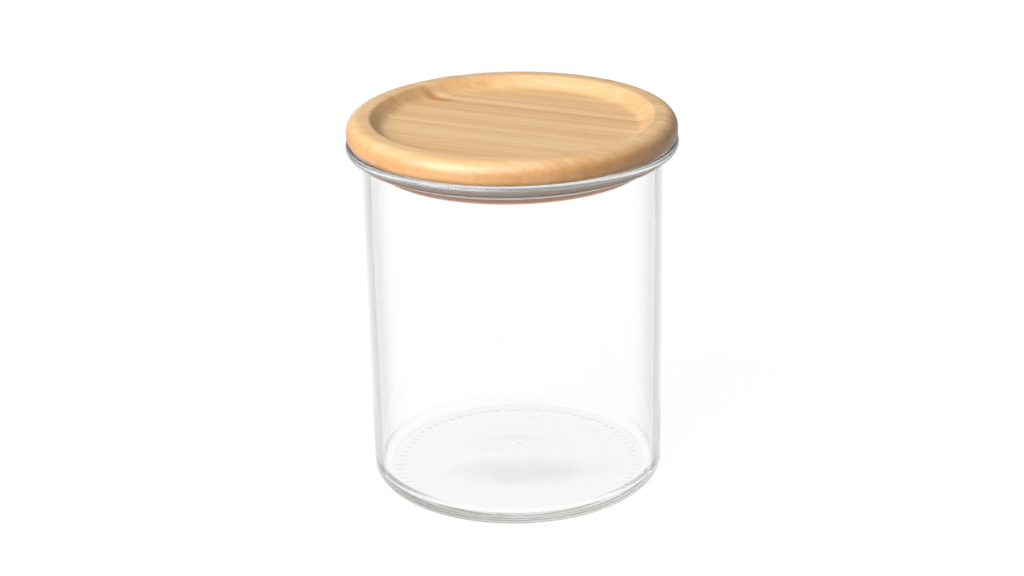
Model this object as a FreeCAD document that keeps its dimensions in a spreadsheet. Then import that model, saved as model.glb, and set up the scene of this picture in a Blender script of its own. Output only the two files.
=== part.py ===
import FreeCAD, Part
import os
import re

import Sketcher

# Round glass storage jar with a rolled lip, a turned wooden lid that stands on the lip, and a
# soft ring that sits in a channel round the lid's plug and seals against the bore of the glass.
# Millimetres. The origin is at the middle of the ring that the jar stands on, and +Z is up.

DIMENSIONS = {
    # Glass jar
    "jar_height": 153.8,        # from the foot to the flat top of the lip
    "body_radius": 64.0,        # outside of the wall, just under the lip
    "wall_draft": 0.7,          # how much less the radius is at the heel
    "wall_thick": 3.0,
    "heel_round": 8.0,          # between the wall and the foot
    "foot_width": 6.0,          # flat ring that the jar stands on
    "push_up": 2.0,             # rise of the underside from the foot to the middle
    "base_thick": 5.5,          # from the foot's level to the inside of the base
    "base_crown": 0.8,          # further rise of the inside at the middle
    "crown_flat": 9.0,          # radius of the level middle of the base, on both sides
    "base_corner": 6.0,         # round between the inside of the base and the bore
    "lip_reach": 6.5,           # how far the lip stands out from the wall
    "lip_low_round": 3.2,       # the outer edge's two rounds make the lip's thickness
    "lip_top_round": 1.7,
    "neck_round": 2.2,          # hollow round between the wall and the lip
    "mouth_round": 1.2,         # between the lip's flat top and the bore
    # Grip marks cut in the foot
    "grip_count": 72,
    "grip_width": 1.8,
    "grip_length": 5.0,
    "grip_depth": 0.3,
    # Wooden lid
    "lid_inset": 0.5,           # how much less the lid's radius is than the lip's
    "rim_thick": 9.9,
    "rim_top_round": 5.6,
    "rim_low_round": 2.5,
    "rim_flat": 3.4,            # flat top of the rim, between its two rounds
    "crest_round": 2.2,         # where the recess begins
    "recess_depth": 5.2,
    "recess_slope": 45.0,       # degrees from level
    "recess_corner": 6.0,       # hollow round at the foot of the slope
    "plug_gap": 4.0,            # between the plug and the bore of the glass
    "plug_height": 11.0,
    "plug_bevel": 0.8,
    # Channel round the plug, and the ring in it
    "channel_rise": 3.0,        # from the foot of the plug to the channel
    "channel_height": 4.6,
    "channel_depth": 2.2,
    "ring_fit": 0.1,            # between the ring and the floor of the channel
    "ring_stand": 1.0,          # how far the ring's band stands out of the channel
    "fin_gap": 0.15,            # between the fins and the glass
    "fin_inset": 0.4,           # from the edge of the band to the fin beside it
    "fin_root": 1.3,
    "fin_tip": 0.5,
}

# Places that follow from the dimensions. Each may use those above it.
PLACES = {
    "wall_foot": "body_radius - wall_draft",
    "bore": "body_radius - wall_thick",
    "bore_foot": "wall_foot - wall_thick",
    "foot_outer": "wall_foot - heel_round",
    "foot_inner": "foot_outer - foot_width",
    "lip_radius": "body_radius + lip_reach",
    "lip_widest": "jar_height - lip_top_round",
    "lip_low": "lip_widest - lip_low_round",
    "neck_axis": "body_radius + neck_round",
    "lid_radius": "lip_radius - lid_inset",
    "lid_top": "jar_height + rim_thick",
    "crest_axis": "lid_radius - rim_top_round - rim_flat",
    "slope": "recess_slope * 1deg",
    "recess_floor": "lid_top - recess_depth",
    "slope_fall": "recess_depth - (crest_round + recess_corner) * (1 - cos(slope))",
    "slope_run": "(crest_round + recess_corner) * sin(slope) + slope_fall / tan(slope)",
    "corner_axis": "crest_axis - slope_run",
    "plug_low": "jar_height - plug_height",
    "plug": "bore - plug_gap",
    "channel_low": "plug_low + channel_rise",
    "channel_high": "channel_low + channel_height",
    "channel_floor": "plug - channel_depth",
    "ring_inner": "channel_floor + ring_fit",
    "ring_band": "plug + ring_stand",
    "fin_end": "bore - fin_gap",
    "fin_taper": "(fin_root - fin_tip) / 2",
    "low_fin": "channel_low + fin_inset",
    "high_fin": "channel_high - fin_inset",
}


def make_sheet(doc):
    """Write the driving dimensions into a sheet, each under its own alias."""
    sheet = doc.addObject("Spreadsheet::Sheet", "Sizes")
    for row, (alias, value) in enumerate(DIMENSIONS.items(), start=1):
        sheet.set(f"A{row}", alias)
        sheet.set(f"B{row}", str(value))
        sheet.setAlias(f"B{row}", alias)
    doc.recompute()


def spell(words):
    """Write an expression out in the sheet's own cells."""
    def spell_word(match):
        word = match.group()
        if word in PLACES:
            return f"({spell(PLACES[word])})"
        return f"Sizes.{word}" if word in DIMENSIONS else word
    return re.sub(r"[a-z_]+", spell_word, words)


def add_sketch(body, name, role):
    """Start a sketch on one of the body's own origin planes."""
    sketch = body.newObject("Sketcher::SketchObject", name)
    plane = next(item for item in body.Origin.OriginFeatures if item.Role == role)
    sketch.AttachmentSupport = [(plane, "")]
    sketch.MapMode = "FlatFace"
    return sketch


class Outline:
    """A closed outline in a sketch, with every corner bound to the sheet."""

    ORIGIN = (-1, 1)
    START, END, CENTRE = 1, 2, 3

    def __init__(self, sketch, across, up):
        self.sketch = sketch
        self.corners = [(across, up)]
        self.edges = []

    def value(self, words):
        """What an expression comes to now."""
        return float(self.sketch.evalExpression(spell(words)))

    def point(self, corner):
        """Where a corner lies now."""
        return FreeCAD.Vector(self.value(corner[0]), self.value(corner[1]), 0)

    def line(self, across, up):
        """Go straight to the next corner."""
        self.edges.append(None)
        self.corners.append((across, up))

    def bow(self, across, up, centre, hollow=False):
        """Go round to the next corner, anticlockwise, or clockwise in a hollow."""
        self.edges.append((centre, hollow))
        self.corners.append((across, up))

    def hold(self, kind, edge, end, words):
        """Bind one distance from the origin to its expression."""
        rule = Sketcher.Constraint(kind, *self.ORIGIN, edge, end, self.value(words))
        number = self.sketch.addConstraint(rule)
        self.sketch.setExpression(f"Constraints[{number}]", spell(words))

    def draw_edge(self, edge, first, last):
        """Draw an edge, and say which of its ends comes first and which last."""
        if edge is None:
            self.sketch.addGeometry(Part.LineSegment(first, last), False)
            return self.START, self.END
        centre_across, hollow = edge
        middle_up = self.centre_up(first, last, self.value(centre_across))
        centre = FreeCAD.Vector(self.value(centre_across), middle_up, 0)
        circle = Part.Circle(centre, FreeCAD.Vector(0, 0, 1), (first - centre).Length)
        low, high = (last, first) if hollow else (first, last)
        arc = Part.ArcOfCircle(circle, circle.parameter(low), circle.parameter(high))
        self.sketch.addGeometry(arc, False)
        return (self.END, self.START) if hollow else (self.START, self.END)

    @staticmethod
    def centre_up(first, last, across):
        """Height of the centre that is as far from both ends."""
        middle = (first + last) / 2
        chord = last - first
        return middle.y + (middle.x - across) * chord.x / chord.y

    def close(self):
        """Draw the edges end to end and bind every corner and centre."""
        count = len(self.edges)
        points = [self.point(corner) for corner in self.corners]
        ends = [self.draw_edge(edge, points[index], points[(index + 1) % count])
                for index, edge in enumerate(self.edges)]
        for index, edge in enumerate(self.edges):
            following = (index + 1) % count
            joint = Sketcher.Constraint(
                "Coincident", index, ends[index][1], following, ends[following][0])
            self.sketch.addConstraint(joint)
            across, up = self.corners[index]
            self.hold("DistanceX", index, ends[index][0], across)
            self.hold("DistanceY", index, ends[index][0], up)
            if edge is not None:
                self.hold("DistanceX", index, self.CENTRE, edge[0])


def turn_body(doc, name, draw):
    """Make a body by turning one outline round the jar's axis."""
    body = doc.addObject("PartDesign::Body", name)
    body.Label = name
    sketch = add_sketch(body, f"{name}_outline", "XZ_Plane")
    draw(sketch)
    turning = body.newObject("PartDesign::Revolution", f"{name}_turning")
    turning.Profile = sketch
    turning.ReferenceAxis = (sketch, ["V_Axis"])
    turning.Angle = 360
    doc.recompute()
    return body


def draw_jar(sketch):
    """Half section of the glass, from the foot up the outside and down the bore."""
    path = Outline(sketch, "foot_inner", "0")
    path.line("foot_outer", "0")
    path.bow("wall_foot", "heel_round", "foot_outer")
    path.line("body_radius", "lip_low - neck_round")
    path.bow("neck_axis", "lip_low", "neck_axis", hollow=True)
    path.line("lip_radius - lip_low_round", "lip_low")
    path.bow("lip_radius", "lip_widest", "lip_radius - lip_low_round")
    path.bow("lip_radius - lip_top_round", "jar_height", "lip_radius - lip_top_round")
    path.line("bore + mouth_round", "jar_height")
    path.bow("bore", "jar_height - mouth_round", "bore + mouth_round")
    path.line("bore_foot", "base_thick + base_corner")
    path.bow("bore_foot - base_corner", "base_thick", "bore_foot - base_corner", hollow=True)
    path.bow("crown_flat", "base_thick + base_crown", "crown_flat")
    path.line("0", "base_thick + base_crown")
    path.line("0", "push_up")
    path.line("crown_flat", "push_up")
    path.bow("foot_inner", "0", "crown_flat", hollow=True)
    path.close()


def cut_grips(doc, body):
    """Cut short radial marks in the foot, evenly round it, inside its two edges."""
    sketch = add_sketch(body, "grip_outline", "XY_Plane")
    middle = "foot_outer - foot_width / 2"
    near, far = f"{middle} - grip_length / 2", f"{middle} + grip_length / 2"
    path = Outline(sketch, near, "0 - grip_width / 2")
    path.line(far, "0 - grip_width / 2")
    path.line(far, "grip_width / 2")
    path.line(near, "grip_width / 2")
    path.line(near, "0 - grip_width / 2")
    path.close()
    grip = body.newObject("PartDesign::Pocket", "grip")
    grip.Profile = sketch
    grip.Reversed = True
    grip.setExpression("Length", spell("grip_depth"))
    doc.recompute()
    ring = body.newObject("PartDesign::PolarPattern", "grip_ring")
    ring.Originals = [grip]
    ring.Axis = (sketch, ["N_Axis"])
    ring.Angle = 360
    ring.setExpression("Occurrences", spell("grip_count"))
    body.Tip = ring
    doc.recompute()


def draw_lid(sketch):
    """Half section of the lid, from the foot of the plug round the rim to the recess."""
    path = Outline(sketch, "0", "plug_low")
    path.line("plug - plug_bevel", "plug_low")
    path.line("plug", "plug_low + plug_bevel")
    path.line("plug", "channel_low")
    path.line("channel_floor", "channel_low")
    path.line("channel_floor", "channel_high")
    path.line("plug", "channel_high")
    path.line("plug", "jar_height")
    path.line("lid_radius - rim_low_round", "jar_height")
    path.bow("lid_radius", "jar_height + rim_low_round", "lid_radius - rim_low_round")
    path.line("lid_radius", "lid_top - rim_top_round")
    path.bow("lid_radius - rim_top_round", "lid_top", "lid_radius - rim_top_round")
    path.line("crest_axis", "lid_top")
    path.bow("crest_axis - crest_round * sin(slope)",
             "lid_top - crest_round * (1 - cos(slope))", "crest_axis")
    path.line("corner_axis + recess_corner * sin(slope)",
              "recess_floor + recess_corner * (1 - cos(slope))")
    path.bow("corner_axis", "recess_floor", "corner_axis", hollow=True)
    path.line("0", "recess_floor")
    path.line("0", "plug_low")
    path.close()


def draw_seal(sketch):
    """Half section of the ring: a band in the channel, with two fins towards the glass."""
    path = Outline(sketch, "ring_inner", "channel_low")
    path.line("ring_band", "channel_low")
    path.line("ring_band", "low_fin")
    path.line("fin_end", "low_fin + fin_taper")
    path.line("fin_end", "low_fin + fin_root - fin_taper")
    path.line("ring_band", "low_fin + fin_root")
    path.line("ring_band", "high_fin - fin_root")
    path.line("fin_end", "high_fin - fin_root + fin_taper")
    path.line("fin_end", "high_fin - fin_taper")
    path.line("ring_band", "high_fin")
    path.line("ring_band", "channel_high")
    path.line("ring_inner", "channel_high")
    path.line("ring_inner", "channel_low")
    path.close()


def check_document(doc, bodies):
    """Stop if any object failed, or a body isn't one sound solid."""
    for item in doc.Objects:
        if "Invalid" in item.State or "Error" in item.State:
            raise RuntimeError(f"{item.Label} failed: {item.State}")
    for body in bodies:
        shape = body.Shape
        if shape.isNull() or not shape.isValid() or len(shape.Solids) != 1:
            raise RuntimeError(f"{body.Label} isn't one sound solid")


def main():
    doc = FreeCAD.newDocument("storage_jar")
    make_sheet(doc)
    jar = turn_body(doc, "glass_jar", draw_jar)
    cut_grips(doc, jar)
    lid = turn_body(doc, "lid", draw_lid)
    seal = turn_body(doc, "seal", draw_seal)
    bodies = [jar, lid, seal]
    check_document(doc, bodies)
    os.makedirs("parts", exist_ok=True)
    for body in bodies:
        body.Shape.exportStep(f"parts/{body.Label}.step")
        print(body.Label, "volume", round(body.Shape.Volume), "mm3")


main()
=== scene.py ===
"""Looks of a round glass storage jar with a rolled lip, a turned bamboo lid and a soft seal ring.

Everything is in metres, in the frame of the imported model: the jar stands on z = 0, and its axis
is z.
"""

import logging
import math
from dataclasses import dataclass, field
from enum import Enum
from typing import Callable, Optional, Union

import bmesh
import bpy
from mathutils import Matrix, Vector

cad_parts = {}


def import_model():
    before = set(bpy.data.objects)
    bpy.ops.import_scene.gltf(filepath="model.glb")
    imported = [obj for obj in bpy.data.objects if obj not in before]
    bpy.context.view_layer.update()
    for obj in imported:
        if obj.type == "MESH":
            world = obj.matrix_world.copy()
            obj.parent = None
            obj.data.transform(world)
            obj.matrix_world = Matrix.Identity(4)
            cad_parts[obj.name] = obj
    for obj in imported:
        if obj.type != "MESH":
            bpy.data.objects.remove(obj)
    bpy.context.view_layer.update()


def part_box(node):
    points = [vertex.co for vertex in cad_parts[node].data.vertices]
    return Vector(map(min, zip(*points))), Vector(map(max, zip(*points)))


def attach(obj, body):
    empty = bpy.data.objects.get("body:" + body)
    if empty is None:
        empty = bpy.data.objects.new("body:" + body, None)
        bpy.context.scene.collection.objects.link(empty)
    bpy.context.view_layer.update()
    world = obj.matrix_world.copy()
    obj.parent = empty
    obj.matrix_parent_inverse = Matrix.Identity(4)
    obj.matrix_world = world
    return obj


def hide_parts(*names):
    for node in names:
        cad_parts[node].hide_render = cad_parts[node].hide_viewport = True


MM = 0.001
QUARTER = 90.0
WHITE = (1.0, 1.0, 1.0)
LOG = logging.getLogger("storage_jar")

Triple = tuple[float, float, float]
Colour = Triple
Point = tuple[float, float]
Number = Union["Value", float]


class Blend(Enum):
    """How a Mix node joins two colours."""

    PLAIN = "MIX"
    DARKEN = "MULTIPLY"


class Value:
    """One output socket of a node, which does arithmetic by adding Math nodes."""

    def __init__(self, graph: "Graph", socket: bpy.types.NodeSocket) -> None:
        """Wrap a socket of the graph."""
        self.graph = graph
        self.socket = socket

    def maths(self, operation: str, *others: Number) -> "Value":
        """Add a Math node that works on this value.

        Args:
            operation: the Math node's operation.
            *others: its further operands.

        Returns:
            The node's result.
        """
        return self.graph.maths(operation, self, *others)

    def __add__(self, other: Number) -> "Value":
        """This plus other."""
        return self.maths("ADD", other)

    def __radd__(self, other: Number) -> "Value":
        """Other plus this."""
        return self.graph.maths("ADD", other, self)

    def __sub__(self, other: Number) -> "Value":
        """This minus other."""
        return self.maths("SUBTRACT", other)

    def __rsub__(self, other: Number) -> "Value":
        """Other minus this."""
        return self.graph.maths("SUBTRACT", other, self)

    def __mul__(self, other: Number) -> "Value":
        """This times other."""
        return self.maths("MULTIPLY", other)

    def __rmul__(self, other: Number) -> "Value":
        """Other times this."""
        return self.graph.maths("MULTIPLY", other, self)

    def __truediv__(self, other: Number) -> "Value":
        """This over other."""
        return self.maths("DIVIDE", other)

    def __pow__(self, other: Number) -> "Value":
        """This to the power of other."""
        return self.maths("POWER", other)

    def __abs__(self) -> "Value":
        """The value without its sign."""
        return self.maths("ABSOLUTE")

    def floor(self) -> "Value":
        """The whole number below."""
        return self.maths("FLOOR")

    def part(self) -> "Value":
        """What is left above the whole number below."""
        return self.maths("FRACT")

    def fade(self, start: float, end: float) -> "Value":
        """Go smoothly from 0 to 1.

        Args:
            start: the value that gives 0; it may be the larger.
            end: the value that gives 1.

        Returns:
            The share of the way.
        """
        low, high = min(start, end), max(start, end)
        settings = {"interpolation_type": "SMOOTHSTEP"}
        inputs = {"Value": self, "From Min": low, "From Max": high}
        rising = self.graph.node("ShaderNodeMapRange", settings, inputs, "Result")
        return rising if start < end else 1.0 - rising


class Graph:
    """The node tree of one material or world."""

    def __init__(self, tree: bpy.types.NodeTree) -> None:
        """Empty the tree."""
        self.tree = tree
        self.tree.nodes.clear()

    def node(self, kind: str, settings: Optional[dict[str, object]] = None,
             inputs: Optional[dict[Union[str, int], object]] = None,
             output: Union[str, int] = 0) -> Value:
        """Add a node, set it up and feed its sockets.

        Args:
            kind: the node's type.
            settings: its own properties; "stops" holds a colour ramp's positions and colours.
            inputs: a value or a link for each socket named.
            output: the socket to hand back.

        Returns:
            The chosen output.
        """
        made = self.tree.nodes.new(kind)
        for name, setting in (settings or {}).items():
            if name == "stops":
                self.set_stops(made.color_ramp, setting)
            else:
                setattr(made, name, setting)
        for name, value in (inputs or {}).items():
            self.feed(made.inputs[name], value)
        return Value(self, made.outputs[output]) if made.outputs else Value(self, None)

    @staticmethod
    def set_stops(ramp: bpy.types.ColorRamp, stops: list[tuple[float, Colour]]) -> None:
        """Give a colour ramp its stops.

        Args:
            ramp: the ramp.
            stops: a position and a colour for each, first to last.
        """
        while len(ramp.elements) < len(stops):
            ramp.elements.new(1.0)
        for element, (position, colour) in zip(ramp.elements, stops):
            element.position = position
            element.color = (*colour, 1.0)

    def feed(self, socket: bpy.types.NodeSocket, value: object) -> None:
        """Link a socket to a value, or set it to a constant.

        Args:
            socket: the socket to feed.
            value: a link, a number, a vector or a colour.
        """
        if isinstance(value, Value):
            self.tree.links.new(value.socket, socket)
        elif socket.type == "RGBA" and len(value) == 3:
            socket.default_value = (*value, 1.0)
        else:
            socket.default_value = value

    def maths(self, operation: str, *operands: Number) -> Value:
        """Add a Math node.

        Args:
            operation: the node's operation.
            *operands: values or numbers, in order.

        Returns:
            The node's result.
        """
        return self.node("ShaderNodeMath", {"operation": operation}, dict(enumerate(operands)))

    def mix(self, amount: Number, first: object, second: object,
            blend: Blend = Blend.PLAIN) -> Value:
        """Mix two colours.

        Args:
            amount: 0 for the first, 1 for the second.
            first: a colour or a link.
            second: a colour or a link.
            blend: how the second acts on the first.

        Returns:
            The mixed colour.
        """
        settings = {"data_type": "RGBA", "blend_type": blend.value}
        return self.node("ShaderNodeMix", settings, {0: amount, 6: first, 7: second}, 2)

    def stretch(self, place: Value, by: Triple) -> Value:
        """Scale a place along its three axes."""
        settings = {"operation": "MULTIPLY"}
        return self.node("ShaderNodeVectorMath", settings, {0: place, 1: by})

    def cloud(self, place: Value, scale: float, detail: float = 2.0) -> Value:
        """Soft noise between 0 and 1."""
        inputs = {"Vector": place, "Scale": scale, "Detail": detail}
        return self.node("ShaderNodeTexNoise", {}, inputs, "Fac")

    def chance(self, number: Value) -> Value:
        """A number between 0 and 1 that is fixed for each whole number."""
        settings = {"noise_dimensions": "1D"}
        return self.node("ShaderNodeTexWhiteNoise", settings, {"W": number}, "Value")

    def place(self) -> Value:
        """Where a point of the surface is, in millimetres."""
        spot = self.node("ShaderNodeTexCoord", output="Object")
        return self.stretch(spot, (1 / MM, 1 / MM, 1 / MM))

    def apart(self, vector: Value) -> tuple[Value, Value, Value]:
        """The three numbers of a vector."""
        split = self.node("ShaderNodeSeparateXYZ", {}, {0: vector}).socket.node
        return tuple(Value(self, socket) for socket in split.outputs)

    def relief(self, height: Value, depth: float, under: Optional[Value] = None) -> Value:
        """Turn a height between 0 and 1 into a normal.

        Args:
            height: the height over the surface.
            depth: the real depth of a height of 1.
            under: the normal of a coarser relief that this one lies on.

        Returns:
            The normal.
        """
        inputs: dict[Union[str, int], object] = {"Height": height, "Distance": depth}
        if under is not None:
            inputs["Normal"] = under
        return self.node("ShaderNodeBump", {}, inputs)


def new_material(name: str) -> tuple[bpy.types.Material, Graph]:
    """Make an empty node material.

    Args:
        name: the material's name.

    Returns:
        The material and its node tree.
    """
    material = bpy.data.materials.new(name)
    material.use_nodes = True
    return material, Graph(material.node_tree)


@dataclass(frozen=True)
class ClearGlass:
    """Pressed clear glass: its skins are painted grey where they are crossed at a slant, as
    painted shade for the glass's dark edges.

    The wall has a mould's soft waves, the heel and the lip are a little softer than the rest, and
    the base is painted grey, with a soft darker patch of painted shade, and has a few pips. The
    stops give a skin's painted shade, from facing (0) to edge on (1). Places and sizes are in
    millimetres, and depths in metres.
    """

    index: float = 1.51
    tint: Colour = (0.93, 0.97, 0.96)
    tint_density: float = 4.0
    outer_painted_shade: tuple[Point, ...] = (
        (0.69, 1.0), (0.715, 0.38), (0.77, 0.39), (0.81, 0.45), (0.86, 0.56), (0.95, 0.65),
        (1.0, 1.0))
    inner_painted_shade: tuple[Point, ...] = (
        (0.40, 1.0), (0.52, 0.95), (0.57, 0.90), (0.63, 0.79), (0.71, 0.60), (0.76, 0.55),
        (0.88, 0.46), (1.0, 0.40))
    heel_painted_shade: tuple[Point, ...] = ((0.70, 1.0), (0.92, 0.75), (1.0, 0.55))
    heel_roughness: float = 0.20
    lip_roughness: float = 0.12
    base_painted_shade: Colour = (0.87, 0.87, 0.87)
    base_patch_shade: Colour = (0.64, 0.64, 0.64)
    shade_patch_place: Point = (6.0, -17.0)
    shade_patch_size: Point = (38.0, 16.0)
    shade_patch_ragged: float = 1.2
    shade_patch_edge: Point = (1.7, 0.5)
    inside_radius: float = 62.3
    inside_low: float = 4.0
    heel_begins: float = 56.0
    lip_begins: float = 64.0
    wall_low: float = 8.0
    wall_high: float = 146.0
    wave_length: float = 22.0
    wave_stretch: Triple = (1.0, 1.0, 0.45)
    wave_depth: float = 0.012 * MM
    pip_pitch: float = 6.5
    pip_scatter: float = 0.35
    pip_edge: Point = (0.28, 0.04)
    pip_reach: float = 19.0
    pip_depth: float = 0.07 * MM

    def material(self) -> bpy.types.Material:
        """Build the material.

        Returns:
            The finished material.
        """
        material, graph = new_material("clear_glass")
        place = graph.place()
        waves = graph.cloud(graph.stretch(place, self.wave_stretch), 1.0 / self.wave_length, 1.0)
        across, along, height = graph.apart(place)
        radius = (across ** 2.0 + along ** 2.0) ** 0.5
        within = self.step(self.inside_radius, radius)
        below_lip = self.step(self.wall_high, height)
        straight = self.step(height, self.wall_low) * below_lip
        on_heel = self.step(radius, self.heel_begins) * (1.0 - straight) * below_lip
        on_lip = self.step(height, self.wall_high) * self.step(radius, self.lip_begins)
        # Painted shade: the base's floor is painted grey, darker still in a soft patch.
        grey = graph.mix(self.shade_patch(across, along, waves), self.base_painted_shade, self.base_patch_shade)
        floor = graph.mix(within * self.step(height, self.inside_low), WHITE, grey)
        # Painted shade: the heel, outer and inner skins are painted greyer the further they are
        # turned away.
        floor = graph.mix(on_heel, floor, self.skin(graph, self.heel_painted_shade))
        outer = self.skin(graph, self.outer_painted_shade)
        wall = graph.mix(within, outer, self.skin(graph, self.inner_painted_shade))
        under = self.step(self.pip_reach, radius) * self.step(self.inside_low, height)
        pips = self.pips(graph, across, along) * under
        inputs = {
            "Base Color": graph.mix(straight, floor, wall),
            "Roughness": on_heel * self.heel_roughness + on_lip * self.lip_roughness,
            "IOR": self.index,
            "Transmission Weight": 1.0,
            "Normal": graph.relief(pips, self.pip_depth, graph.relief(waves, self.wave_depth)),
        }
        glass = graph.node("ShaderNodeBsdfPrincipled", {}, inputs)
        depth = graph.node("ShaderNodeVolumeAbsorption", {},
                           {"Color": self.tint, "Density": self.tint_density})
        graph.node("ShaderNodeOutputMaterial", {}, {"Surface": glass, "Volume": depth})
        return material

    @staticmethod
    def skin(graph: Graph, shares: tuple[Point, ...]) -> Value:
        """Painted shade of a skin, by how far it is turned away.

        Args:
            graph: the material's node tree.
            shares: the painted tone at each turn, lower for more painted shade.

        Returns:
            The tone.
        """
        even = 0.5
        turned = graph.node("ShaderNodeLayerWeight", {}, {"Blend": even}, "Facing")
        stops = [(position, (share, share, share)) for position, share in shares]
        return graph.node("ShaderNodeValToRGB", {"stops": stops}, {"Fac": turned}, "Color")

    def shade_patch(self, across: Value, along: Value, ragged: Value) -> Value:
        """A soft grey patch of painted shade in the base.

        Args:
            across: place along x.
            along: place along y.
            ragged: noise that breaks up its edge.

        Returns:
            1 in the patch and 0 outside it.
        """
        aside = ((across - self.shade_patch_place[0]) / self.shade_patch_size[0]) ** 2.0
        ahead = ((along - self.shade_patch_place[1]) / self.shade_patch_size[1]) ** 2.0
        return (aside + ahead + self.shade_patch_ragged * ragged).fade(*self.shade_patch_edge)

    def pips(self, graph: Graph, across: Value, along: Value) -> Value:
        """Small plain pips, as wide as their edge says.

        Args:
            graph: the material's node tree.
            across: place along x.
            along: place along y.

        Returns:
            1 on a pip and 0 between them.
        """
        level = graph.node("ShaderNodeCombineXYZ", {}, {"X": across, "Y": along})
        inputs = {"Vector": level, "Scale": 1.0 / self.pip_pitch, "Randomness": self.pip_scatter}
        far = graph.node("ShaderNodeTexVoronoi", {}, inputs, "Distance")
        return far.fade(*self.pip_edge)

    @staticmethod
    def step(more: Number, less: Number) -> Value:
        """1 where the first is more than the second by a millimetre, and 0 where it is less."""
        return (more - less).fade(0.0, 1.0)


@dataclass(frozen=True)
class Knot:
    """A node of the cane that shows in one strip: a short brown mark across the grain."""

    along: float
    across: float
    length: float
    width: float


@dataclass(frozen=True)
class LaminatedBamboo:
    """Bamboo strips glued side by side, sanded and oiled: tones by strip, fibres and nodes, and
    painted shade on upright faces and on the plug below the lip.

    Sizes are in millimetres and depths in metres. A stretch scales the grain's three axes, the
    first of them along the strips.
    """

    grain_degrees: float = -25.0
    strip: float = 6.2
    strip_shift: float = 900.0
    broad_stretch: Triple = (0.006, 0.30, 0.30)
    fine_stretch: Triple = (0.02, 2.4, 2.4)
    bundle_stretch: Triple = (0.055, 1.5, 1.5)
    bundle_edge: Point = (0.34, 0.16)
    pale: Colour = (0.72, 0.50, 0.285)
    honey: Colour = (0.63, 0.395, 0.18)
    tan: Colour = (0.53, 0.28, 0.105)
    fibre: Colour = (0.42, 0.21, 0.08)
    knot: Colour = (0.40, 0.15, 0.05)
    end_grain_and_side_shade: Colour = (0.92, 0.71, 0.52)
    plug_painted_shade: Colour = (0.46, 0.24, 0.08)
    plug_top: float = 153.3
    strip_weight: float = 0.22
    broad_weight: float = 0.85
    fine_weight: float = 0.60
    shade_drop: float = 0.34
    tone_stops: Triple = (0.12, 0.50, 0.92)
    bundle_share: float = 0.24
    seam_share: float = 0.16
    knot_share: float = 0.75
    knot_ragged: float = 0.9
    knot_edge: Point = (1.45, 0.35)
    side_shade_share: float = 0.85
    level_edge: Point = (0.95, 0.25)
    seam_edge: Point = (0.478, 0.5)
    smoothest: float = 0.38
    rougher: float = 0.16
    index: float = 1.5
    lacquer: float = 1.0
    bundle_sinks: float = 0.6
    groove_depth: float = 0.05 * MM
    seam_depth: float = 0.02 * MM
    knots: tuple[Knot, ...] = (Knot(-46.0, 24.0, 12.0, 3.2), Knot(20.0, 62.0, 5.0, 2.2))

    def material(self) -> bpy.types.Material:
        """Build the material.

        Returns:
            The finished material.
        """
        material, graph = new_material("laminated_bamboo")
        turn = (0.0, 0.0, -math.radians(self.grain_degrees))
        grain = graph.node("ShaderNodeMapping", {}, {"Vector": graph.place(), "Rotation": turn})
        along, across, height = graph.apart(grain)
        lane = across / self.strip
        tone = graph.chance(lane.floor())
        shift = graph.node("ShaderNodeCombineXYZ", {}, {"X": tone * self.strip_shift})
        shifted = graph.node("ShaderNodeVectorMath", {"operation": "ADD"}, {0: grain, 1: shift})
        broad = graph.cloud(graph.stretch(shifted, self.broad_stretch), 1.0, 3.0)
        fine = graph.cloud(graph.stretch(shifted, self.fine_stretch), 1.0, 3.0)
        bundles = self.bundles(graph, shifted)
        colour = self.strip_colour(graph, tone, broad, fine)
        colour = graph.mix(bundles * self.bundle_share, colour, self.fibre)
        seam = abs(lane.part() - 0.5).fade(*self.seam_edge)
        colour = graph.mix(seam * self.seam_share, colour, self.fibre)
        marks = self.knot_marks(along, across, fine)
        colour = graph.mix(marks * self.knot_share, colour, self.knot)
        # Upright faces are darker and redder: partly oil sunk into end grain, partly painted
        # shade.
        side_darkening = self.oiled_and_shaded_faces(graph)
        colour = graph.mix(side_darkening, colour, self.end_grain_and_side_shade, Blend.DARKEN)
        # Painted shade: the plug's upright face below the lip is darkened to a deep brown, for
        # the shade inside the neck.
        plug = (self.plug_top - height).fade(0.0, 0.5) * side_darkening
        colour = graph.mix(plug, colour, self.plug_painted_shade, Blend.DARKEN)
        inputs = {
            "Base Color": colour,
            "Roughness": self.smoothest + self.rougher * fine,
            "IOR": self.index,
            "Specular IOR Level": self.lacquer,
            "Normal": self.sanded(graph, fine, bundles, seam),
        }
        wood = graph.node("ShaderNodeBsdfPrincipled", {}, inputs)
        graph.node("ShaderNodeOutputMaterial", {}, {"Surface": wood})
        return material

    def strip_colour(self, graph: Graph, tone: Value, broad: Value, fine: Value) -> Value:
        """Tone of the wood.

        Args:
            graph: the material's node tree.
            tone: the strip's own shade.
            broad: broad streaks.
            fine: fine fibres.

        Returns:
            The colour, from pale to tan.
        """
        shade = (self.strip_weight * tone + self.broad_weight * broad
                 + self.fine_weight * fine - self.shade_drop)
        stops = list(zip(self.tone_stops, (self.pale, self.honey, self.tan)))
        return graph.node("ShaderNodeValToRGB", {"stops": stops}, {"Fac": shade}, "Color")

    def bundles(self, graph: Graph, grain: Value) -> Value:
        """Dark fibre bundles: short dashes along the grain, dots where they are cut across.

        Args:
            graph: the material's node tree.
            grain: place in the wood, turned to the strips.

        Returns:
            1 in a bundle and 0 between them.
        """
        inputs = {"Vector": graph.stretch(grain, self.bundle_stretch), "Scale": 1.0}
        far = graph.node("ShaderNodeTexVoronoi", {}, inputs, "Distance")
        return far.fade(*self.bundle_edge)

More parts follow.
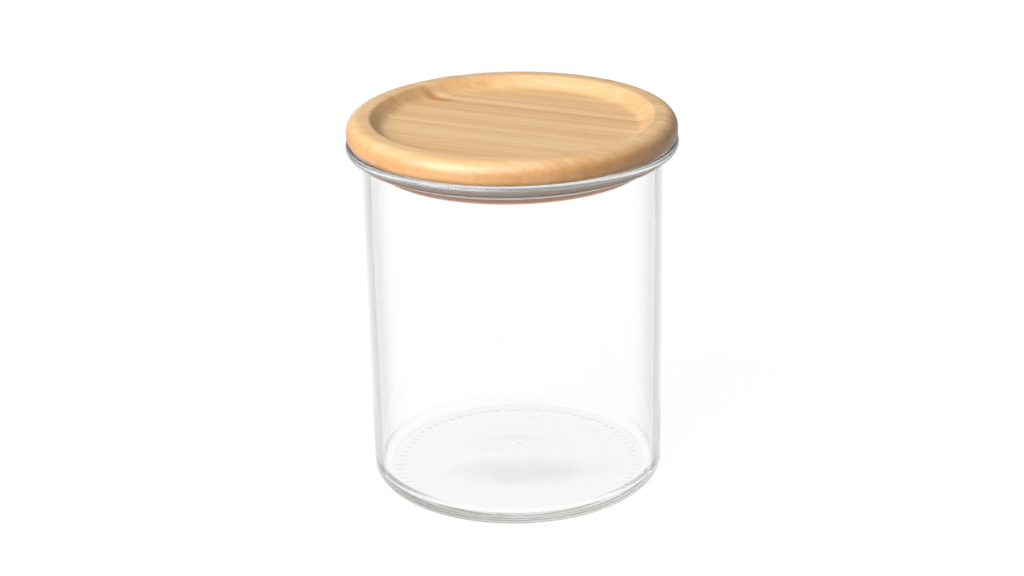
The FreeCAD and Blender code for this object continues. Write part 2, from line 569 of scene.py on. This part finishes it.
    def knot_marks(self, along: Value, across: Value, ragged: Value) -> Value:
        """Where the nodes of the cane show.

        Args:
            along: place along the strips.
            across: place across them.
            ragged: noise that breaks up their edges.

        Returns:
            1 on a node and 0 between them.
        """
        total: Number = 0.0
        for knot in self.knots:
            reach = (abs(along - knot.along) / knot.length) ** 2.0
            spread = (abs(across - knot.across) / knot.width) ** 2.0
            total = total + (reach + spread + self.knot_ragged * ragged).fade(*self.knot_edge)
        return total

    def oiled_and_shaded_faces(self, graph: Graph) -> Value:
        """How much a face is turned away from level: there the oil sinks in deeper, and the
        darker, redder tone there is also painted shade.

        Args:
            graph: the material's node tree.

        Returns:
            0 on level faces, and more on upright ones.
        """
        normal = graph.node("ShaderNodeNewGeometry", output="Normal")
        upright = abs(graph.apart(normal)[2])
        return upright.fade(*self.level_edge) * self.side_shade_share

    def sanded(self, graph: Graph, fine: Value, bundles: Value, seam: Value) -> Value:
        """Relief of the sanded surface: fibres, open bundles and faint glue lines."""
        grooves = graph.relief(fine - self.bundle_sinks * bundles, self.groove_depth)
        return graph.relief(1.0 - seam, self.seam_depth, grooves)


@dataclass(frozen=True)
class Silicone:
    """Soft milky ring: lets some light through and has a dull skin."""

    milk: Colour = (0.94, 0.95, 0.95)
    shade: Colour = (0.88, 0.89, 0.89)
    cloudiness: float = 0.35
    smoothest: float = 0.42
    rougher: float = 0.12
    index: float = 1.41
    passes: float = 0.10
    skin_depth: float = 0.02 * MM

    def material(self) -> bpy.types.Material:
        """Build the material.

        Returns:
            The finished material.
        """
        material, graph = new_material("soft_silicone")
        cloud = graph.cloud(graph.place(), self.cloudiness, 3.0)
        inputs = {
            "Base Color": graph.mix(cloud, self.milk, self.shade),
            "Roughness": self.smoothest + self.rougher * cloud,
            "IOR": self.index,
            "Transmission Weight": self.passes,
            "Normal": graph.relief(graph.cloud(graph.place(), 2.0), self.skin_depth),
        }
        skin = graph.node("ShaderNodeBsdfPrincipled", {}, inputs)
        graph.node("ShaderNodeOutputMaterial", {}, {"Surface": skin})
        return material


@dataclass(frozen=True)
class PaleTable:
    """Light table: it glows white, so that shadows on it stay faint.

    It sheds less light on other things than it shows.
    """

    paint: Colour = (0.03, 0.03, 0.03)
    seen: Colour = (0.98, 0.98, 0.98)
    shed: Colour = (0.22, 0.22, 0.22)

    def material(self) -> bpy.types.Material:
        """Build the material.

        Returns:
            The finished material.
        """
        material, graph = new_material("pale_table")
        soft = graph.node("ShaderNodeLightPath", output="Is Diffuse Ray")
        inputs = {
            "Base Color": self.paint,
            "Roughness": 1.0,
            "Specular IOR Level": 0.0,
            "Emission Color": graph.mix(soft, self.seen, self.shed),
            "Emission Strength": 1.0,
        }
        sheet = graph.node("ShaderNodeBsdfPrincipled", {}, inputs)
        graph.node("ShaderNodeOutputMaterial", {}, {"Surface": sheet})
        return material


class Outline:
    """A half section: points of radius and height, with straight runs and round bends."""

    def __init__(self, radius: float, height: float) -> None:
        """Begin at a point."""
        self.points: list[Point] = [(radius, height)]

    def line(self, radius: float, height: float, steps: int = 1) -> "Outline":
        """Go straight to a point.

        Args:
            radius: the point's distance from the axis.
            height: the point's height.
            steps: how many equal runs to divide the way into.

        Returns:
            The outline itself.
        """
        first_radius, first_height = self.points[-1]
        for step in range(1, steps + 1):
            share = step / steps
            self.points.append((first_radius + (radius - first_radius) * share,
                                first_height + (height - first_height) * share))
        return self

    def bend(self, radius: float, height: float, degrees: float, steps: int) -> "Outline":
        """Go round a centre.

        Args:
            radius: the centre's distance from the axis.
            height: the centre's height.
            degrees: the turn, anticlockwise if positive.
            steps: how many runs to divide the bend into.

        Returns:
            The outline itself.
        """
        arm = Vector(self.points[-1]) - Vector((radius, height))
        for step in range(1, steps + 1):
            angle = math.radians(degrees) * step / steps
            turned = Matrix.Rotation(angle, 2) @ arm
            self.points.append((radius + turned.x, height + turned.y))
        return self

    def dome(self, radius: float, height: float, steps: int) -> "Outline":
        """Go to a point along a shallow curve that is level where it ends.

        Args:
            radius: the point's distance from the axis.
            height: the point's height.
            steps: how many runs to divide the curve into.

        Returns:
            The outline itself.
        """
        first_radius, first_height = self.points[-1]
        for step in range(1, steps + 1):
            left = 1 - step / steps
            self.points.append((radius + (first_radius - radius) * left,
                                height + (first_height - height) * left ** 2))
        return self


class Turning:
    """Turns a half section round the z axis into one closed mesh."""

    def __init__(self, segments: int, sharp_degrees: float = 40.0) -> None:
        """Choose how many segments go round, and which edges stay crisp."""
        self.segments = segments
        self.sharp = math.radians(sharp_degrees)

    def build(self, name: str, outline: Outline,
              lift: Optional[Callable[[float, float, float], float]] = None) -> bpy.types.Object:
        """Make the object.

        Args:
            name: the object's name.
            outline: the half section; it ends where it began, unless both its ends are on
                the axis.
            lift: a rise to add at each radius, height and angle.

        Returns:
            The object, in the scene.
        """
        work = bmesh.new()
        rings = [self.ring(work, radius, height, lift) for radius, height in outline.points]
        for lower, upper in zip(rings, rings[1:]):
            self.join(work, lower, upper)
        bmesh.ops.remove_doubles(work, verts=work.verts, dist=MM / 1000)
        bmesh.ops.recalc_face_normals(work, faces=work.faces)
        mesh = bpy.data.meshes.new(name)
        work.to_mesh(mesh)
        work.free()
        mesh.polygons.foreach_set("use_smooth", [True] * len(mesh.polygons))
        mesh.set_sharp_from_angle(angle=self.sharp)
        made = bpy.data.objects.new(name, mesh)
        bpy.context.scene.collection.objects.link(made)
        return made

    def ring(self, work: bmesh.types.BMesh, radius: float, height: float,
             lift: Optional[Callable[[float, float, float], float]]) -> list[bmesh.types.BMVert]:
        """Make the vertices of one point of the half section.

        Args:
            work: the mesh in progress.
            radius: the point's distance from the axis.
            height: the point's height.
            lift: a rise to add at each radius, height and angle.

        Returns:
            The ring of vertices, or the single one on the axis.
        """
        if radius == 0:
            return [work.verts.new((0.0, 0.0, height))]
        vertices = []
        for index in range(self.segments):
            angle = math.tau * index / self.segments
            rise = lift(radius, height, angle) if lift else 0.0
            spot = (radius * math.cos(angle), radius * math.sin(angle), height + rise)
            vertices.append(work.verts.new(spot))
        return vertices

    def join(self, work: bmesh.types.BMesh, lower: list[bmesh.types.BMVert],
             upper: list[bmesh.types.BMVert]) -> None:
        """Make the faces between two rings.

        Args:
            work: the mesh in progress.
            lower: the first ring.
            upper: the next one.
        """
        for index in range(self.segments):
            after = (index + 1) % self.segments
            corners = [lower[index % len(lower)], lower[after % len(lower)],
                       upper[after % len(upper)], upper[index % len(upper)]]
            work.faces.new(list(dict.fromkeys(corners)))


def dress(piece: bpy.types.Object, material: bpy.types.Material, node: str) -> None:
    """Give a piece its finish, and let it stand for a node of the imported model.

    Args:
        piece: the piece.
        material: its finish.
        node: the node that it stands for.
    """
    piece.data.materials.append(material)
    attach(piece, "root")
    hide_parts(node)


@dataclass
class GlassJar:
    """The jar: a straight wall with a rolled lip, and a foot with short radial grip marks."""

    height: float
    lip_radius: float
    body_radius: float = 64.0 * MM
    wall_draft: float = 0.7 * MM
    wall: float = 3.0 * MM
    heel: float = 8.0 * MM
    foot_width: float = 6.0 * MM
    push_up: float = 2.0 * MM
    base: float = 5.5 * MM
    base_crown: float = 0.8 * MM
    crown_flat: float = 9.0 * MM
    base_corner: float = 6.0 * MM
    lip_low_round: float = 3.2 * MM
    lip_top_round: float = 1.7 * MM
    neck: float = 2.2 * MM
    mouth: float = 1.2 * MM
    grips: int = 72
    grip_width: float = 1.8 * MM
    grip_length: float = 5.0 * MM
    grip_depth: float = 0.1 * MM
    grip_soft: float = 0.9 * MM
    segments_per_grip: int = 12
    finish: ClearGlass = field(default_factory=ClearGlass)

    @property
    def bore(self) -> float:
        """Inside radius at the mouth."""
        return self.body_radius - self.wall

    @property
    def foot_outer(self) -> float:
        """Outer radius of the flat ring that the jar stands on."""
        return self.body_radius - self.wall_draft - self.heel

    def outline(self) -> Outline:
        """Draw the half section.

        Returns:
            The outline, from the middle of the underside up the outside to the inside.
        """
        foot_inner = self.foot_outer - self.foot_width
        lip_widest = self.height - self.lip_top_round
        lip_low = lip_widest - self.lip_low_round
        bore_foot = self.bore - self.wall_draft
        path = Outline(0.0, self.push_up)
        path.line(self.crown_flat, self.push_up)
        path.line(foot_inner, 0.0, steps=4)
        path.line(self.foot_outer, 0.0, steps=12)
        path.bend(self.foot_outer, self.heel, QUARTER, steps=12)
        path.line(self.body_radius, lip_low - self.neck, steps=6)
        path.bend(self.body_radius + self.neck, lip_low - self.neck, -QUARTER, steps=6)
        path.line(self.lip_radius - self.lip_low_round, lip_low)
        path.bend(self.lip_radius - self.lip_low_round, lip_widest, QUARTER, steps=12)
        path.bend(self.lip_radius - self.lip_top_round, lip_widest, QUARTER, steps=8)
        path.line(self.bore + self.mouth, self.height)
        path.bend(self.bore + self.mouth, self.height - self.mouth, QUARTER, steps=5)
        corner_high = self.base + self.base_corner
        path.line(bore_foot, corner_high, steps=6)
        path.bend(bore_foot - self.base_corner, corner_high, -QUARTER, steps=10)
        path.dome(self.crown_flat, self.base + self.base_crown, steps=6)
        path.line(0.0, self.base + self.base_crown)
        return path

    def grip_rise(self, radius: float, height: float, angle: float) -> float:
        """How far the foot rises into a grip mark, with soft edges.

        Args:
            radius: the point's distance from the axis.
            height: the point's height.
            angle: the point's angle round the axis.

        Returns:
            The rise.
        """
        if height > 0:
            return 0.0
        middle = self.foot_outer - self.foot_width / 2
        pitch = math.tau / self.grips
        aside = abs((angle + pitch / 2) % pitch - pitch / 2) * radius
        inward = self.grip_length / 2 - abs(radius - middle)
        sideways = self.grip_width / 2 - aside
        share = self.ease(inward / self.grip_soft) * self.ease(sideways / self.grip_soft + 0.5)
        return self.grip_depth * share

    @staticmethod
    def ease(share: float) -> float:
        """Rise smoothly from 0 to 1."""
        held = min(1.0, max(0.0, share))
        return held * held * (3 - 2 * held)

    def build(self) -> bpy.types.Object:
        """Make and dress the jar.

        Returns:
            The jar.
        """
        turning = Turning(self.grips * self.segments_per_grip)
        jar = turning.build("jar_glass", self.outline(), self.grip_rise)
        dress(jar, self.finish.material(), "glass_jar")
        return jar


@dataclass
class BambooLid:
    """The lid: a rim that stands on the lip, a shallow recess in the top and a plug below."""

    radius: float
    low: float
    top: float
    seat: float
    plug_radius: float = 57.0 * MM
    rim_top_round: float = 5.6 * MM
    rim_low_round: float = 2.5 * MM
    rim_flat: float = 3.4 * MM
    crest_round: float = 2.2 * MM
    recess_depth: float = 5.2 * MM
    recess_slope: float = 45.0
    recess_corner: float = 6.0 * MM
    plug_bevel: float = 0.8 * MM
    channel_rise: float = 3.0 * MM
    channel_height: float = 4.6 * MM
    channel_depth: float = 2.2 * MM
    segments: int = 360
    finish: LaminatedBamboo = field(default_factory=LaminatedBamboo)

    def outline(self) -> Outline:
        """Draw the half section.

        Returns:
            The outline, from the middle of the underside round the rim to the recess.
        """
        crest = self.radius - self.rim_top_round - self.rim_flat
        floor = self.top - self.recess_depth
        angle = math.radians(self.recess_slope)
        rounds = self.crest_round + self.recess_corner
        fall = self.recess_depth - rounds * (1 - math.cos(angle))
        corner = crest - rounds * math.sin(angle) - fall / math.tan(angle)
        channel_low = self.low + self.channel_rise
        channel_high = channel_low + self.channel_height
        path = Outline(0.0, self.low)
        path.line(self.plug_radius - self.plug_bevel, self.low, steps=6)
        path.line(self.plug_radius, self.low + self.plug_bevel)
        path.line(self.plug_radius, channel_low)
        path.line(self.plug_radius - self.channel_depth, channel_low)
        path.line(self.plug_radius - self.channel_depth, channel_high)
        path.line(self.plug_radius, channel_high)
        path.line(self.plug_radius, self.seat)
        low_round, top_round = self.rim_low_round, self.rim_top_round
        path.line(self.radius - low_round, self.seat, steps=3)
        path.bend(self.radius - low_round, self.seat + low_round, QUARTER, steps=8)
        path.line(self.radius, self.top - top_round)
        path.bend(self.radius - top_round, self.top - top_round, QUARTER, steps=12)
        path.line(crest, self.top, steps=2)
        path.bend(crest, self.top - self.crest_round, self.recess_slope, steps=6)
        path.line(corner + self.recess_corner * math.sin(angle),
                  floor + self.recess_corner * (1 - math.cos(angle)), steps=2)
        path.bend(corner, floor + self.recess_corner, -self.recess_slope, steps=6)
        path.line(0.0, floor, steps=8)
        return path

    def build(self) -> bpy.types.Object:
        """Make and dress the lid.

        Returns:
            The lid.
        """
        lid = Turning(self.segments).build("lid_bamboo", self.outline())
        dress(lid, self.finish.material(), "lid")
        return lid


@dataclass
class SealRing:
    """The soft ring in the plug's channel: a band with two fins towards the glass."""

    low: float
    high: float
    fin_radius: float
    inner: float = 54.9 * MM
    band: float = 58.0 * MM
    fin_inset: float = 0.4 * MM
    fin_root: float = 1.3 * MM
    fin_tip: float = 0.5 * MM
    edge: float = 0.2 * MM
    segments: int = 240
    finish: Silicone = field(default_factory=Silicone)

    def outline(self) -> Outline:
        """Draw the whole section of the ring.

        Returns:
            The outline, anticlockwise from its inner lower edge.
        """
        path = Outline(self.inner, self.low)
        path.line(self.band - self.edge, self.low)
        path.line(self.band, self.low + self.edge)
        for fin_low in (self.low + self.fin_inset, self.high - self.fin_inset - self.fin_root):
            middle = fin_low + self.fin_root / 2
            path.line(self.band, fin_low)
            path.line(self.fin_radius - self.fin_tip / 2, middle - self.fin_tip / 2, steps=3)
            path.bend(self.fin_radius - self.fin_tip / 2, middle, 2 * QUARTER, steps=6)
            path.line(self.band, fin_low + self.fin_root, steps=3)
        path.line(self.band, self.high - self.edge)
        path.line(self.band - self.edge, self.high)
        path.line(self.inner, self.high)
        path.line(self.inner, self.low)
        return path

    def build(self) -> bpy.types.Object:
        """Make and dress the ring.

        Returns:
            The ring.
        """
        ring = Turning(self.segments).build("seal_ring", self.outline())
        dress(ring, self.finish.material(), "seal")
        return ring


@dataclass(frozen=True)
class Softbox:
    """A large soft lamp that looks at the lid."""

    name: str
    place: Triple
    size: Point
    power: float
    colour: Colour = (1.0, 1.0, 1.0)

    def build(self, target: Vector) -> bpy.types.Object:
        """Hang the lamp.

        Args:
            target: what it looks at.

        Returns:
            The lamp.
        """
        data = bpy.data.lights.new(self.name, "AREA")
        data.shape = "RECTANGLE"
        data.size, data.size_y = self.size
        data.energy = self.power
        data.color = self.colour
        lamp = bpy.data.objects.new(self.name, data)
        lamp.visible_transmission = False  # no bright square shows through the glass
        lamp.location = self.place
        lamp.rotation_euler = (target - lamp.location).to_track_quat("-Z", "Y").to_euler()
        bpy.context.scene.collection.objects.link(lamp)
        return lamp


@dataclass
class Studio:
    """Pale table, soft light and the camera.

    The sky shows one brightness to mirrors, another through glass, and sheds a third, each darker
    on the right. Light takes many bounces, because the glass guides it far down the wall.
    """

    target: Vector
    table_radius: float = 4.0
    table_segments: int = 96
    table_drop: float = 0.05 * MM
    camera_place: Triple = (0.0, -0.9524, 0.4483)
    pitch: float = 20.88
    yaw: float = -0.075
    roll: float = -1.09
    lens: float = 82.72
    sky_low: Colour = (0.60, 0.62, 0.64)
    sky_high: Colour = (0.40, 0.42, 0.44)
    sky_right: Colour = (0.62, 0.62, 0.64)
    sky_shed: Colour = (0.40, 0.40, 0.40)
    shed_right: Colour = (0.18, 0.18, 0.18)
    sky_through: Colour = (1.0, 1.02, 1.04)
    sky_rises: Point = (0.05, 0.7)
    sky_turns: Point = (-0.3, 0.8)
    light_bounces: int = 128
    lamps: tuple[Softbox, ...] = (
        Softbox(name="key", place=(-0.90, -0.98, 1.20), size=(1.5, 1.5), power=56.0,
                colour=(1.0, 0.985, 0.96)),
    )

    def build_table(self) -> bpy.types.Object:
        """Lay the table, just under the foot of the jar.

        Returns:
            The table.
        """
        mesh = bpy.data.meshes.new("table")
        work = bmesh.new()
        bmesh.ops.create_circle(work, cap_ends=True, radius=self.table_radius,
                                segments=self.table_segments)
        bmesh.ops.translate(work, verts=work.verts, vec=(0.0, 0.0, -self.table_drop))
        work.to_mesh(mesh)
        work.free()
        table = bpy.data.objects.new("table", mesh)
        table.data.materials.append(PaleTable().material())
        bpy.context.scene.collection.objects.link(table)
        return table

    def build_sky(self) -> bpy.types.World:
        """Surround the set with soft light, paler near the horizon.

        Returns:
            The sky.
        """
        sky = bpy.data.worlds.new("studio_sky")
        sky.use_nodes = True
        graph = Graph(sky.node_tree)
        way = graph.node("ShaderNodeTexCoord", output="Generated")
        rightward, _, height = graph.apart(way)
        tone = graph.mix(height.fade(*self.sky_rises), self.sky_low, self.sky_high)
        aside = rightward.fade(*self.sky_turns)
        shed = graph.mix(aside, self.sky_shed, self.shed_right)
        soft = graph.node("ShaderNodeLightPath", output="Is Diffuse Ray")
        tone = graph.mix(soft, tone, shed)
        through = graph.node("ShaderNodeLightPath", output="Is Transmission Ray")
        tone = graph.mix(through, tone, self.sky_through)
        tone = graph.mix(aside, tone, self.sky_right, Blend.DARKEN)
        light = graph.node("ShaderNodeBackground", {}, {"Color": tone, "Strength": 1.0})
        graph.node("ShaderNodeOutputWorld", {}, {"Surface": light})
        bpy.context.scene.world = sky
        return sky

    def build_camera(self) -> bpy.types.Object:
        """Stand the camera in front of the jar, looking down at it.

        Returns:
            The camera.
        """
        yaw, pitch, roll = (math.radians(angle) for angle in (self.yaw, self.pitch, self.roll))
        ahead = Vector((math.sin(yaw) * math.cos(pitch), math.cos(yaw) * math.cos(pitch),
                        -math.sin(pitch)))
        level = Vector((math.cos(yaw), -math.sin(yaw), 0.0))
        above = level.cross(ahead)
        right = level * math.cos(roll) + above * math.sin(roll)
        upward = above * math.cos(roll) - level * math.sin(roll)
        data = bpy.data.cameras.new("camera")
        data.lens = self.lens
        camera = bpy.data.objects.new("camera", data)
        turn = Matrix((right, upward, -ahead)).transposed().to_4x4()
        camera.matrix_world = Matrix.Translation(self.camera_place) @ turn
        bpy.context.scene.collection.objects.link(camera)
        bpy.context.scene.camera = camera
        return camera

    def build(self) -> None:
        """Build the whole set."""
        self.build_table()
        self.build_sky()
        for lamp in self.lamps:
            lamp.build(self.target)
        self.build_camera()
        scene = bpy.context.scene
        scene.view_settings.view_transform = "Standard"
        scene.cycles.blur_glossy = 0.0
        scene.cycles.max_bounces = self.light_bounces
        scene.cycles.transmission_bounces = self.light_bounces
        scene.cycles.glossy_bounces = self.light_bounces


def report(piece: bpy.types.Object) -> None:
    """Log a piece's name and how many faces it has."""
    LOG.info("%s: %d faces", piece.name, len(piece.data.polygons))


def main() -> None:
    """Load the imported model, build each piece round it, and set the stage."""
    logging.basicConfig(level=logging.INFO, format="%(name)s %(message)s")
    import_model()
    jar_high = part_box("glass_jar")[1]
    lid_low, lid_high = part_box("lid")
    seal_low, seal_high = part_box("seal")
    Studio(target=Vector((0.0, 0.0, lid_high[2]))).build()
    report(GlassJar(height=jar_high[2], lip_radius=jar_high[0]).build())
    report(BambooLid(radius=lid_high[0], low=lid_low[2], top=lid_high[2],
                     seat=jar_high[2]).build())
    report(SealRing(low=seal_low[2], high=seal_high[2], fin_radius=seal_high[0]).build())


if __name__ == "__main__":
    main()
